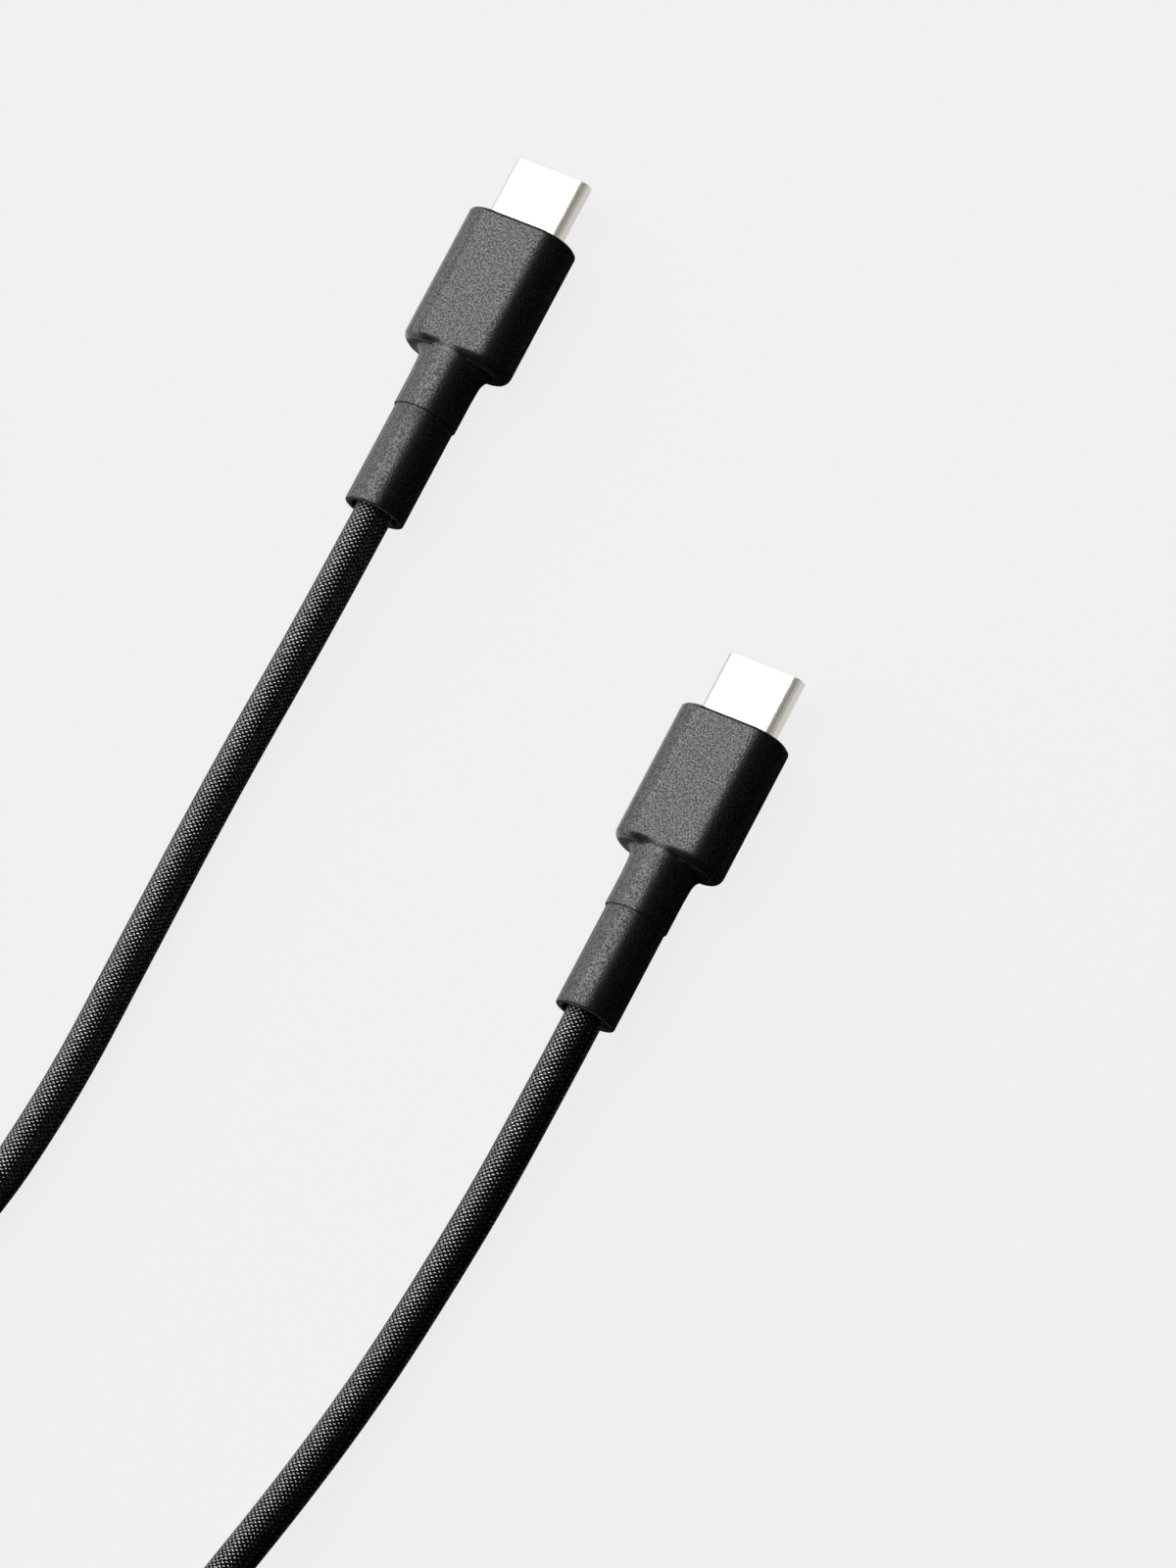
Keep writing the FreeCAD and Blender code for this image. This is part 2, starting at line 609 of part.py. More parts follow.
def tie():
    """A strap once round the coil, on the side away from the plugs."""
    sweep = 2 * math.degrees(math.asin(TIE_WIDTH / (COIL_INNER_RADIUS - CORD_R - TIE_SHEET)))
    start = TIE_ANGLE - sweep / 2
    loop = turned_round(coil_section(TIE_SHEET, TIE_SHEET), start, sweep)
    loop = loop.cut(turned_round(coil_section(0, TIE_SHEET), start, sweep))
    reach = COIL_RADIUS + CORD_D
    width = slab(0, reach, -TIE_WIDTH / 2, TIE_WIDTH / 2, 0, 3 * CORD_D)
    width.rotate(Vector(0, 0, 0), Vector(0, 0, 1), TIE_ANGLE)
    strap = loop.common(width)
    strap.translate(Vector(COIL_X, COIL_Y, 0))
    return strap


def report_cord(name, solid, length, smallest):
    """Print what shows that a cord's tube is sound: its length, its volume and its tightest arc."""
    expected = math.pi * CORD_R ** 2 * length
    print(f"{name}: {length:.1f} mm long, volume {solid.Volume:.1f} of {expected:.1f}, "
          f"tightest arc {smallest:.1f} mm")


def main():
    nodes = {}
    for letter, place in (("a", PLUG_A), ("b", PLUG_B)):
        for name, shape in plug().items():
            shape.translate(place)
            nodes[f"plug_{letter}_{name}"] = shape
    for name, route in (("cord_a", ROUTE_A), ("cord_b", ROUTE_B)):
        solid, length, smallest = tube(route, CORD_D)
        report_cord(name, solid, length, smallest)
        nodes[name] = solid
    nodes["cord_coil"] = coil()
    nodes["coil_tie"] = tie()
    os.makedirs("parts", exist_ok=True)
    for name, shape in nodes.items():
        shape.exportStep(f"parts/{name}.step")
    print(len(nodes), "nodes")


main()
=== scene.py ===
import json
import math

import bmesh
import bpy
from mathutils import Matrix, Vector

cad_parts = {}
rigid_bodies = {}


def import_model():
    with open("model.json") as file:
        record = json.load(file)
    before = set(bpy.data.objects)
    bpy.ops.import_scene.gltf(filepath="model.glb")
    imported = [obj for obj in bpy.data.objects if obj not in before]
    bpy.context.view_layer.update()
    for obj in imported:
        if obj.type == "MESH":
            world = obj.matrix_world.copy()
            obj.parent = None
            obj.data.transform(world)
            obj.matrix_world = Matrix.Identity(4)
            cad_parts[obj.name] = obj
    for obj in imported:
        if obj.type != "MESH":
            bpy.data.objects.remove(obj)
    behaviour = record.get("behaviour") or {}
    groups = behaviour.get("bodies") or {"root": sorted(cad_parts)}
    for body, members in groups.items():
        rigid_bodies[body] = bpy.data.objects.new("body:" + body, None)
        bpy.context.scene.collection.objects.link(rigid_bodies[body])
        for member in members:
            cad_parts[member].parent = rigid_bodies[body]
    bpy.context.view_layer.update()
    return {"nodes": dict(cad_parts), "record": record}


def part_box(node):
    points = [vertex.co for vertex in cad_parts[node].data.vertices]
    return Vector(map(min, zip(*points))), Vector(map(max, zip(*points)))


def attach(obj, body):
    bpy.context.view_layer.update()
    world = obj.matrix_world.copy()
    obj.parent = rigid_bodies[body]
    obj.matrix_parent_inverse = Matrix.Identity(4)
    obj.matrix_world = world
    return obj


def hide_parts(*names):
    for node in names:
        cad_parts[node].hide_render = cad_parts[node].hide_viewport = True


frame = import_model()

# A black braided charging cable: the finish of its pieces, the smooth shape of what shows on its two
# plugs, and its one cord from plug to plug.
#
# Units are metres. The cable lies on the plane Z = 0 and both plugs point along +Y.

MM = 0.001
SIDES = ("a", "b")

# How finely the meshes are made
CORNER_STEPS = 16                    # faces in a quarter of a section
FLAT_STEPS = 16                      # and on the body's flat top and underside
ROUND_STEPS = 6                      # faces across a round
MOUTH_STEPS = 4                      # across the round inside a sleeve's mouth
SMALL_STEPS = 3                      # across the smallest rounds
HOLLOW_STEPS = 8                     # and through the hollow between a shoulder and the neck
SHARP_EDGE = 35                      # an edge that turns by more degrees stays sharp
SAME_POINT = 1e-5 * MM               # points nearer than this are one
ONE_PLANE = 0.001 * MM               # loops nearer than this lie in one plane
BRIDGE_ROOM = 5.0 * MM               # between two such loops while they are joined

# Rounded edges of the plug's pieces and of the tie
BODY_FRONT_ROUND = 0.40 * MM
BODY_REAR_ROUND = 0.80 * MM          # all round the rear, as far as the neck
BODY_REAR_BULGE = 0.18 * MM          # how much deeper than wide that round is
SHOULDER_DRAFT = 0.06 * MM           # how far the flat of a shoulder leans back
NECK_HOLLOW = 1.20 * MM              # the hollow corner where the neck leaves a shoulder
NECK_BLEND = 4.00 * MM               # over which the neck comes down from the body's height
NECK_RINGS = (0.7, 1.0)              # shares of that way at which the neck has a loop of edges
NECK_MEET = 0.25 * MM                # over which the neck and the body's rear run into each other
CORE = 0.4                           # share of the body's section that lies well inside the neck
NECK_REAR_ROUND = 0.04 * MM
SLEEVE_FRONT_ROUND = 0.03 * MM
SLEEVE_REAR_ROUND = 0.14 * MM
MOUTH_ROUND = 0.12 * MM              # inside the sleeve's mouth
SHELL_LIP_ROUND = 0.18 * MM
SHELL_INNER_ROUND = 0.05 * MM
TIE_ROUND = 0.20 * MM

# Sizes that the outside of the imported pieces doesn't give
SHELL_WALL = 0.25 * MM
NECK_D = 6.58 * MM
BODY_LENGTH = 14.6 * MM
BODY_CORNER = 3.15 * MM
INNER_CORNER = 2.0 * MM              # of the inner moulding
SLEEVE_LENGTH = 10.7 * MM
SLEEVE_ROOT_D = 5.2 * MM
SLEEVE_MOUTH_D = 4.9 * MM
SLEEVE_MOUTH_DEPTH = 1.2 * MM

# Cord
CORD_D = 3.8 * MM
CORD_PLAY = 0.06 * MM                # how much wider than the cord a sleeve's bore is
CORD_SIDES = 32
CORD_STEPS = 12                      # points of the cord's line for each point of its route
LOW = CORD_D / 2                     # centre line of cord on the floor
HIGH = LOW + CORD_D                  # and of cord that lies on cord
AXIS_HEIGHT = 3.5 * MM
ROUTE_A = [
    (-0.0220, 0.0012, AXIS_HEIGHT),
    (-0.0220, -0.0118, AXIS_HEIGHT),
    (-0.0233, -0.0300, LOW),
    (-0.0232, -0.0500, LOW),
    (-0.0231, -0.0640, LOW),
    (-0.0248, -0.0800, LOW),
    (-0.0330, -0.1040, LOW),
    (-0.0353, -0.1150, LOW),
    (-0.0353, -0.1280, LOW),
]
ROUTE_B = [
    (0.0220, -0.03725, AXIS_HEIGHT),
    (0.0220, -0.04665, AXIS_HEIGHT),
    (0.0210, -0.0620, LOW),
    (0.0189, -0.0850, LOW),
    (0.0143, -0.1140, HIGH),
    (0.0143, -0.1280, HIGH),
]

# Coil of put-away cord: two layers, wound inwards and then outwards
COIL_CENTRE = Vector((-0.0105, -0.1430, 0.0))
COIL_RADIUS = 24.8 * MM
COIL_INNER_RADIUS = 15.2 * MM
LAYER_TURNS = 2.5
CLIMB_TURNS = 0.5
CLIMB_DIP = 0.6 * MM                 # inwards, clear of the turns beside the climb
POINTS_PER_TURN = 12
COIL_START = 180.0                   # degrees round from +X
TIE_ANGLE = 270.0
TIE_WIDTH = 6.0 * MM
TIE_SHEET = 0.6 * MM
TIE_HUMP = 50.0                      # degrees of turn, half to rise onto the tie and half to fall
TIE_CREST = 0.6                      # share of such a half that is level on either side of the tie

# Braid: yarns cross in diamonds, drawn a little coarser than real ones, so that they show
BRAID_STARTS = 17                    # diamonds round the cord
BRAID_PITCH = 0.50 * MM              # of a diamond along it
BRAID_RELIEF = 0.078 * MM            # how far a crossing stands out
BRAID_WAVER = 0.06 * MM              # how far it may lie out of line
WAVER_LENGTH = 1.6 * MM              # of cord, over which that changes
DOME_ACROSS = 1.15                   # power of a crossing's rise across its yarn: a full round
DOME_ALONG = 0.42                    # and along it: flat, with a steep fall at both ends

# Other surfaces
TPE_GRAIN = 0.18 * MM                # of spark-eroded pits, coarser than real ones, so that they show
TPE_RELIEF = 0.023 * MM
SKIN_GRAIN = 0.12 * MM               # of the orange peel on smooth moulded plastic
SKIN_RELIEF = 0.01 * MM
CLOUD_GRAINS = 6                     # grains of that skin in a cloud of colour
DRAWN_STRETCH = 0.06                 # share of their density that the lines of drawn metal keep along Y
STRAP_THREAD = 0.6 * MM
STRAP_RELIEF = 0.05 * MM

# Camera
CAMERA_TARGET = Vector((0.00958, -0.01618, 0.0))
CAMERA_DISTANCE = 1.650
CAMERA_ELEVATION = 62.80
CAMERA_AZIMUTH = -32.41              # where it stands, in degrees round from +X
PICTURE_UP = 117.86                  # the way on the floor that is up in the picture
CAMERA_LENS = 397.2

# Light
# Panels: how the way to one leans in X and Y for a rise of 1, its distance, its size and its brightness
SOFTBOX = ((-0.385, 0.27), 0.90, (0.90, 0.60), 5.07)
METAL_CARDS = (                      # white and grey cards that only the metal mirrors
    ((1.0, 0.2), 1.0, (0.90, 1.20), 0.27),
    ((4.0, 0.2), 1.0, (0.50, 1.20), 0.50),
    ((-0.2, 2.05), 1.0, (1.20, 0.98), 1.40),
)
WINDOW_SIDE, DARK_SIDE = 2.6, 0.02   # brightness of the studio towards -X and in the rest of it
WINDOW_EDGE = (-0.85, -0.55)         # the X of a direction where the one ends and the other begins
STRIP_Y = (-120 * MM, 100 * MM)      # ends of the white strips on the floor, beside the black pieces
STRIP_GAP = 3.0 * MM                 # from a plug to its strip
STRIP_WIDTH = 120 * MM
STRIP_HEIGHT = 0.01 * MM
STRIP_LEVEL = 1.15                   # brightness
CORD_STRIP_WIDTH = {"a": 121 * MM, "b": 13 * MM}      # b's ends short of the other plug's cord
CORD_STRIP_GAP = 2.0 * MM            # from a plug to the strip of its cord
PAPER_GLOW = 0.95                    # share of the floor's own colour in what the camera sees of it
PAPER_SIZE = 6.0                     # from the middle of the floor to its edges
PAPER_DROP = 0.02 * MM               # how far the floor lies under the cable
PALE = "F0F0F0"


def smooth_step(x):
    """0 up to 0, 1 from 1 on, and an even rise between."""
    x = min(max(x, 0.0), 1.0)
    return x * x * (3 - 2 * x)


# ---------------------------------------------------------------- camera

def make_camera():
    """The camera, far off and close in, with the plugs pointing up and to the right."""
    azimuth, elevation, up = map(math.radians, (CAMERA_AZIMUTH, CAMERA_ELEVATION, PICTURE_UP))
    back = Vector((math.cos(elevation) * math.cos(azimuth),
                   math.cos(elevation) * math.sin(azimuth),
                   math.sin(elevation)))
    right = Vector((math.cos(up), math.sin(up), 0)).cross(back).normalized()
    data = bpy.data.cameras.new("camera")
    data.sensor_width = 36
    data.lens = CAMERA_LENS
    data.clip_start, data.clip_end = 0.05, 50
    camera = bpy.data.objects.new("camera", data)
    bpy.context.scene.collection.objects.link(camera)
    turn = Matrix((right, back.cross(right), back)).transposed()
    camera.matrix_world = Matrix.Translation(CAMERA_TARGET + back * CAMERA_DISTANCE) @ turn.to_4x4()
    bpy.context.scene.camera = camera


# ---------------------------------------------------------------- materials
#
# A Mix node's plain values are its sockets 2 and 3, its colours are 6 and 7, and their mixture is its
# output 2. A Map Range node's vector is its socket 6, the ends of its new range are 9 and 10, and the
# vector that it gives is its output 1.

def linear(code):
    """An sRGB hex colour as linear RGBA."""
    parts = [int(code[i:i + 2], 16) / 255 for i in (0, 2, 4)]
    return (*[c / 12.92 if c <= 0.04045 else ((c + 0.055) / 1.055) ** 2.4 for c in parts], 1.0)


def add(tree, kind, inputs=None, **settings):
    """A new node. inputs gives each socket's name or number its value, or an output to link it to."""
    node = tree.nodes.new("ShaderNode" + kind)
    for name, value in settings.items():
        setattr(node, name, value)
    for key, value in (inputs or {}).items():
        if isinstance(value, bpy.types.Node):
            value = value.outputs[0]
        if isinstance(value, bpy.types.NodeSocket):
            tree.links.new(value, node.inputs[key])
        else:
            node.inputs[key].default_value = value
    return node


def new_material(name):
    """An empty material, its node tree and its Object coordinates."""
    material = bpy.data.materials.new(name)
    material.use_nodes = True
    tree = material.node_tree
    tree.nodes.clear()
    return material, tree, add(tree, "TexCoord").outputs["Object"]


def spark_textured_tpe(name, shaded_pit, peak, roughness):
    """Black TPE moulded in a spark-eroded tool: fine even pits with painted shade in them, so a broken,
    dull sheen.
    """
    material, tree, place = new_material(name)
    pits = add(tree, "TexNoise", {"Vector": place, "Scale": 1 / TPE_GRAIN,
                                  "Detail": 1.0, "Roughness": 0.5})
    # The peaks between the pits are a little paler, smoother and glossier: the pits are painted darker,
    # as painted shade
    peaks = add(tree, "MapRange", {"Value": pits, "From Min": 0.42, "From Max": 0.70})
    colour = add(tree, "Mix", {0: peaks, 6: linear(shaded_pit), 7: linear(peak)}, data_type="RGBA")
    rough = add(tree, "MapRange", {"Value": pits, "From Min": 0.35, "From Max": 0.65,
                                   "To Min": roughness + 0.08, "To Max": roughness - 0.08})
    gloss = add(tree, "MapRange", {"Value": pits, "From Min": 0.36, "From Max": 0.64,
                                   "To Min": 0.28, "To Max": 0.74})
    relief = add(tree, "Bump", {"Height": pits, "Distance": TPE_RELIEF, "Strength": 1.0})
    shader = add(tree, "BsdfPrincipled", {
        "Base Color": colour.outputs[2],
        "Roughness": rough,
        "Specular IOR Level": gloss,
        "Normal": relief,
        "IOR": 1.5,
        "Sheen Weight": 0.2,
        "Sheen Roughness": 0.3,
    })
    add(tree, "OutputMaterial", {"Surface": shader})
    return material


def weave(tree, around, along, width, pitch):
    """Domes of a plain braid, one on each crossing of two yarns, and each crossing's own number."""
    turns = add(tree, "Math", {0: around, 1: 1 / width}, operation="MULTIPLY")
    rise = add(tree, "Math", {0: along, 1: 1 / pitch}, operation="MULTIPLY")
    waves, cells = [], []
    for operation in ("ADD", "SUBTRACT"):
        yarns = add(tree, "Math", {0: turns, 1: rise}, operation=operation)
        cells.append(add(tree, "Math", {0: yarns}, operation="FLOOR"))
        angle = add(tree, "Math", {0: yarns, 1: math.pi}, operation="MULTIPLY")
        waves.append(add(tree, "Math", {0: angle}, operation="SINE"))
    product = add(tree, "Math", {0: waves[0], 1: waves[1]}, operation="MULTIPLY")
    over = add(tree, "Math", {0: product, 1: 0.0}, operation="GREATER_THAN")
    first, second = (add(tree, "Math", {0: wave}, operation="ABSOLUTE") for wave in waves)
    across = add(tree, "Mix", {0: over, 2: first, 3: second})
    lengthwise = add(tree, "Mix", {0: over, 2: second, 3: first})
    rounded = add(tree, "Math", {0: across, 1: DOME_ACROSS}, operation="POWER")
    flatter = add(tree, "Math", {0: lengthwise, 1: DOME_ALONG}, operation="POWER")
    domes = add(tree, "Math", {0: rounded, 1: flatter}, operation="MULTIPLY")
    own = add(tree, "TexWhiteNoise", {"Vector": add(tree, "CombineXYZ", {0: cells[0], 1: cells[1]})})
    return domes, own.outputs["Value"]


def braided_nylon():
    """Tight braid of glossy black nylon yarn: each crossing a small lit dome, between gaps painted black
    as shade.
    """
    material, tree, place = new_material("braided_nylon")
    waver = add(tree, "TexNoise", {"Vector": place, "Scale": 1 / WAVER_LENGTH, "Detail": 0.0})
    shift = add(tree, "MapRange", {6: waver.outputs["Color"],
                                   9: (-BRAID_WAVER,) * 3,
                                   10: (BRAID_WAVER,) * 3}, data_type="FLOAT_VECTOR")
    uv = add(tree, "VectorMath", {0: add(tree, "TexCoord").outputs["UV"], 1: shift.outputs[1]})
    spot = add(tree, "SeparateXYZ", {0: uv})
    around, along = spot.outputs["X"], spot.outputs["Y"]
    domes, own = weave(tree, around, along, math.pi * CORD_D / BRAID_STARTS, BRAID_PITCH)
    crown = add(tree, "MapRange", {"Value": domes, "From Min": 0.32, "From Max": 0.72})
    # Each crossing has a black and a gloss of its own, and the gaps between them are painted darkest, as
    # painted shade between the yarns, and lose their gloss
    yarn = add(tree, "Mix", {0: own, 6: linear("040404"), 7: linear("0C0C0B")}, data_type="RGBA")
    colour = add(tree, "Mix", {0: crown, 6: linear("020202"), 7: yarn.outputs[2]}, data_type="RGBA")
    rough = add(tree, "MapRange", {"Value": crown, "To Min": 0.6, "To Max": 0.16})
    shine = add(tree, "MapRange", {"Value": own, "To Min": 0.5, "To Max": 1.0})
    gloss = add(tree, "Math", {0: crown, 1: shine}, operation="MULTIPLY")
    relief = add(tree, "Bump", {"Height": domes, "Distance": BRAID_RELIEF, "Strength": 1.0})
    # Above nylon's own IOR of 1.53, for the bright glint that a yarn's many threads give together
    shader = add(tree, "BsdfPrincipled", {
        "Base Color": colour.outputs[2],
        "Roughness": rough,
        "Specular IOR Level": gloss,
        "Normal": relief,
        "IOR": 2.0,
        "Sheen Weight": 0.8,
        "Sheen Roughness": 0.18,
    })
    add(tree, "OutputMaterial", {"Surface": shader})
    return material


def plated_metal(name, colour, roughness, line, depth=0.0):
    """Smooth bright metal, with faint lines along the way it was drawn and, with a depth, a relief."""
    material, tree, place = new_material(name)
    drawn = add(tree, "Mapping", {"Vector": place, "Scale": (1.0, DRAWN_STRETCH, 1.0)})
    lines = add(tree, "TexNoise", {"Vector": drawn, "Scale": 1 / line, "Detail": 3.0})
    rough = add(tree, "MapRange", {"Value": lines, "From Min": 0.3, "From Max": 0.7,
                                   "To Min": roughness * 0.8, "To Max": roughness * 1.25})
    inputs = {"Base Color": linear(colour), "Metallic": 1.0, "Roughness": rough}
    if depth:
        inputs["Normal"] = add(tree, "Bump", {"Height": lines, "Distance": depth, "Strength": 1.0})
    add(tree, "OutputMaterial", {"Surface": add(tree, "BsdfPrincipled", inputs)})
    return material


def smooth_skin(name, colour, shade, roughness, coat=0.0):
    """Moulded, extruded or fired: even colour with slight clouds, and a fine orange-peel skin."""
    material, tree, place = new_material(name)
    cloud_size = CLOUD_GRAINS * SKIN_GRAIN
    haze = add(tree, "TexNoise", {"Vector": place, "Scale": 1 / cloud_size, "Detail": 3.0})
    peel = add(tree, "TexNoise", {"Vector": place, "Scale": 1 / SKIN_GRAIN, "Detail": 2.0})
    clouds = add(tree, "MapRange", {"Value": haze, "From Min": 0.35, "From Max": 0.65})
    clouded = add(tree, "Mix", {0: clouds, 6: linear(colour), 7: linear(shade)}, data_type="RGBA")
    rough = add(tree, "MapRange", {"Value": peel, "To Min": roughness - 0.05,
                                   "To Max": roughness + 0.08})
    relief = add(tree, "Bump", {"Height": peel, "Distance": SKIN_RELIEF, "Strength": 1.0})
    shader = add(tree, "BsdfPrincipled", {
        "Base Color": clouded.outputs[2],
        "Roughness": rough,
        "Normal": relief,
        "IOR": 1.5,
        "Coat Weight": coat,
    })
    add(tree, "OutputMaterial", {"Surface": shader})
    return material


def woven_strap():
    """Woven nylon strap with a napped face: dull black with a fine square weave."""
    material, tree, place = new_material("woven_strap")
    spot = add(tree, "SeparateXYZ", {0: place})
    domes = weave(tree, spot.outputs["X"], spot.outputs["Y"], STRAP_THREAD, STRAP_THREAD)[0]
    # The low gaps between the threads are painted darker, as painted shade
    colour = add(tree, "Mix", {0: domes, 6: linear("050505"), 7: linear("1C1C1E")}, data_type="RGBA")
    relief = add(tree, "Bump", {"Height": domes, "Distance": STRAP_RELIEF, "Strength": 1.0})
    shader = add(tree, "BsdfPrincipled", {
        "Base Color": colour.outputs[2],
        "Roughness": 0.8,
        "Normal": relief,
        "Sheen Weight": 0.3,
        "Sheen Roughness": 0.4,
    })
    add(tree, "OutputMaterial", {"Surface": shader})
    return material


METAL_SLOTS = ("plug_steel", "contact_gold", "spring_steel", "solder", "can_steel", "shield_wire")


def make_finishes():
    """The material of each slot of the record."""
    return {
        # Nickel plate over drawn steel: a soft, faintly warm mirror
        "plug_steel": plated_metal("nickel_plated_steel", "D9D5CC", 0.31, 0.05 * MM),
        # Stamped contacts under gold plate: deep yellow and bright
        "contact_gold": plated_metal("gold_plated_contacts", "E3BC6A", 0.20, 0.04 * MM),
        # Bare stamped sheet: grey and clean
        "spring_steel": plated_metal("spring_steel_sheet", "C9C8C4", 0.28, 0.04 * MM),
        # Solder set from the melt: soft grey lumps
        "solder": plated_metal("tin_solder", "C6C7CA", 0.32, 0.30 * MM, 0.02 * MM),
        # Folded can under tin plate: pale and slightly dull
        "can_steel": plated_metal("tin_plated_steel", "BEBDBA", 0.34, 0.06 * MM),
        # Screen of fine tinned wires, drawn as one ridged surface
        "shield_wire": plated_metal("tinned_braid_wire", "B8B3A9", 0.36, 0.10 * MM, 0.02 * MM),
        # The plug's outer mouldings: black with a fine dull grain, whose pits are painted darker as
        # shade
        "moulding": spark_textured_tpe("moulded_tpe_body", "040404", "1C1C1C", 0.34),
        "sleeve": spark_textured_tpe("moulded_tpe_sleeve", "040404", "1A1A1A", 0.35),
        "cord_braid": braided_nylon(),
        "tie_strap": woven_strap(),
        # Glass-filled liquid-crystal polymer: hard, black and dull
        "insulator": smooth_skin("glass_filled_lcp", "121213", "19191B", 0.45),
        # Green lacquer over glass laminate: wet-looking, with a clear top coat
        "board_laminate": smooth_skin("solder_resist_on_laminate", "17502C", "1E6236", 0.30, coat=0.3),
        # Fired ceramic chips: matt brown
        "capacitor_ceramic": smooth_skin("fired_ceramic", "8F7352", "A1866A", 0.55),
        # Undyed polypropylene round the board: milky white
        "inner_resin": smooth_skin("natural_polypropylene", "D9D6CB", "E4E1D7", 0.45),
        # The cord's jacket under its braid: plain black, a little waxy
        "cord_jacket": smooth_skin("extruded_tpe_jacket", "151515", "1D1D1D", 0.50),
        # The wires' insulation: smooth, clear colours
        "insulation_red": smooth_skin("extruded_pe_red", "A81E17", "B8261E", 0.35),
        "insulation_black": smooth_skin("extruded_pe_black", "131313", "1C1C1C", 0.35),
        "insulation_green": smooth_skin("extruded_pe_green", "1E7C38", "268A42", 0.35),
        "insulation_white": smooth_skin("extruded_pe_white", "DEDEDA", "E8E8E4", 0.35),
        "insulation_blue": smooth_skin("extruded_pe_blue", "1F4D9C", "285AAE", 0.35),
    }


# ---------------------------------------------------------------- shapes

def new_piece(bm, name, slot, *nodes):
    """Turn a bmesh into a piece on the root body that stands for CAD nodes."""
    bmesh.ops.remove_doubles(bm, verts=bm.verts[:], dist=SAME_POINT)
    bmesh.ops.recalc_face_normals(bm, faces=bm.faces[:])
    for face in bm.faces:
        face.smooth = True
    for edge in bm.edges:
        edge.smooth = edge.calc_face_angle(0.0) < math.radians(SHARP_EDGE)
    mesh = bpy.data.meshes.new(name)
    bm.to_mesh(mesh)
    bm.free()
    mesh.materials.append(finishes[slot])
    piece = bpy.data.objects.new(name, mesh)
    bpy.context.scene.collection.objects.link(piece)
    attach(piece, "root")
    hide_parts(*nodes)
    return piece


def section(bm, y, width, height, corner, flat_steps=1):
    """A closed rounded-oblong loop of edges across the Y axis at y: a circle pulled apart."""
    # The circle is turned by half a step, so that each of its quarters can move as one, and the middles
    # of its edges lie on the true round
    half_step = math.pi / (4 * CORNER_STEPS)
    stand_up = Matrix.Rotation(math.pi / 2, 4, "X") @ Matrix.Rotation(half_step, 4, "Z")
    made = bmesh.ops.create_circle(bm, cap_ends=False, segments=4 * CORNER_STEPS,
                                   radius=corner / math.cos(half_step), matrix=stand_up)
    for v in made["verts"]:
        v.co.x += math.copysign(width / 2 - corner, v.co.x)
        v.co.z += math.copysign(height / 2 - corner, v.co.z)
        v.co.y = y
    edges = {e for v in made["verts"] for e in v.link_edges}
    if flat_steps > 1:
        flats = [e for e in edges if e.verts[0].co.x * e.verts[1].co.x < 0]
        cut = bmesh.ops.subdivide_edges(bm, edges=flats, cuts=flat_steps - 1)
        edges.update(e for e in cut["geom"] if isinstance(e, bmesh.types.BMEdge))
    return list(edges)


def round_section(bm, y, diameter):
    """A round loop of edges across the Y axis at y, with as many vertices as an oblong one."""
    return section(bm, y, diameter, diameter, diameter / 2)


def skin(bm, loops):
    """Bridge each loop to the next and the last to the first, so that the surface is closed."""
    for first, second in zip(loops, loops[1:] + loops[:1]):
        # Loops in one plane can be joined upside down, so one of them stands back meanwhile
        in_plane = abs(first[0].verts[0].co.y - second[0].verts[0].co.y) < ONE_PLANE
        back = Vector((0, BRIDGE_ROOM if in_plane else 0, 0))
        moved = list({v for edge in second for v in edge.verts})
        bmesh.ops.translate(bm, verts=moved, vec=-back)
        bmesh.ops.bridge_loops(bm, edges=first + second)
        bmesh.ops.translate(bm, verts=moved, vec=back)


def round_off(bm, edges, radius, steps=ROUND_STEPS):
    """Round a rim's edges."""
    bmesh.ops.bevel(bm, geom=edges, offset=radius, offset_type="OFFSET", segments=steps, profile=0.5,
                    affect="EDGES", material=-1)


def move_to_plug(bm, place):
    """Move a piece from the origin to its plug."""
    bmesh.ops.translate(bm, verts=bm.verts[:], vec=place)


def make_shell(side, place):
    """The drawn metal shell: a rounded-oblong tube, open in front, with a rounded lip."""
    low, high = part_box(f"plug_{side}_metal_shell")
    width, height = high.x - low.x, high.z - low.z
    inner = (width - 2 * SHELL_WALL, height - 2 * SHELL_WALL, height / 2 - SHELL_WALL)
    rear, mouth = low.y - place.y, high.y - place.y
    bm = bmesh.new()
    outer_rear, outer_mouth = (section(bm, y, width, height, height / 2) for y in (rear, mouth))
    inner_mouth, inner_rear = (section(bm, y, *inner) for y in (mouth, rear))
    skin(bm, [outer_rear, outer_mouth, inner_mouth, inner_rear])
    round_off(bm, outer_mouth, SHELL_LIP_ROUND)
    round_off(bm, inner_mouth, SHELL_INNER_ROUND, SMALL_STEPS)
    move_to_plug(bm, place)
    new_piece(bm, f"plug_{side}_drawn_shell", "plug_steel", f"plug_{side}_metal_shell")


def swell(loop, radius, hollow=0.0):
    """Press a loop out to the round of the neck, which a hollow makes wider towards its two sides."""
    for v in {v for edge in loop for v in edge.verts}:
        reach = math.hypot(v.co.x, v.co.z)
        sideways = (v.co.x / reach) ** 4      # 1 at the two sides, and soon near 0
        neck = radius + hollow * sideways
        meet = max(NECK_MEET - abs(reach - neck), 0) ** 2 / (4 * NECK_MEET)
        growth = (max(reach, neck) + meet) / reach
        v.co.x *= growth
        v.co.z *= growth


def quarter(steps=ROUND_STEPS):
    """The sine and cosine of even steps through a quarter turn."""
    for i in range(steps + 1):
        angle = math.radians(90 * i / steps)
        yield math.sin(angle), math.cos(angle)


